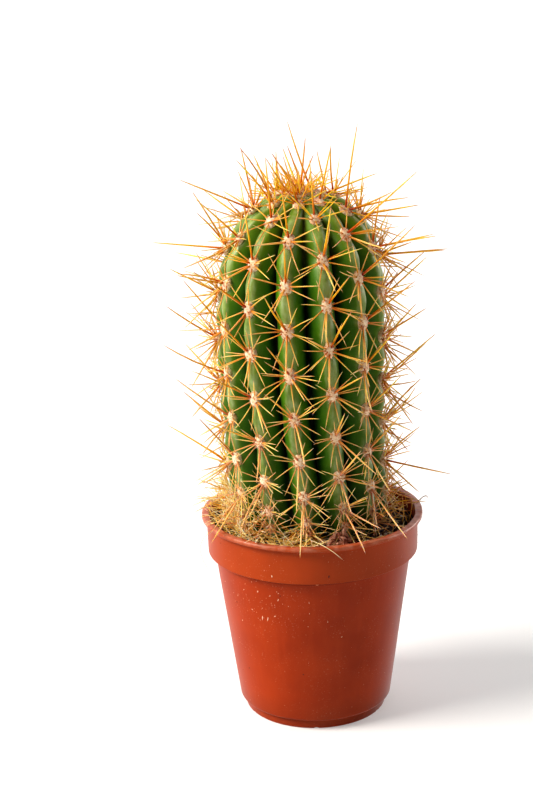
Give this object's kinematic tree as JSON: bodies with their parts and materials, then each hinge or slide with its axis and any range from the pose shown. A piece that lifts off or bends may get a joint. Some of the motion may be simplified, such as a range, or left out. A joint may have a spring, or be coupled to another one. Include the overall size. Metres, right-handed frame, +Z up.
{
  "type": "potted torch cactus",
  "caption": "Young columnar torch cactus with ribs, woolly areoles and golden spines, standing in soil in a small round plastic nursery pot.",
  "frame": {"origin": "centre of the pot's underside, on the surface it stands on", "axes": "+Z up along the pot's axis; -Y is the front of the plant as pictured, +X its right side"},
  "size_m": [0.0716, 0.0674, 0.1483],
  "materials": {
    "pot_plastic": "terracotta-coloured polypropylene, satin",
    "potting_soil": "dark peat with perlite, rough",
    "cactus_skin": "waxy green skin with cream wool and golden spines"
  },
  "bodies": {
    "root": {"pot": "pot_plastic", "soil": "potting_soil", "cactus": "cactus_skin"}
  },
  "joints": []
}
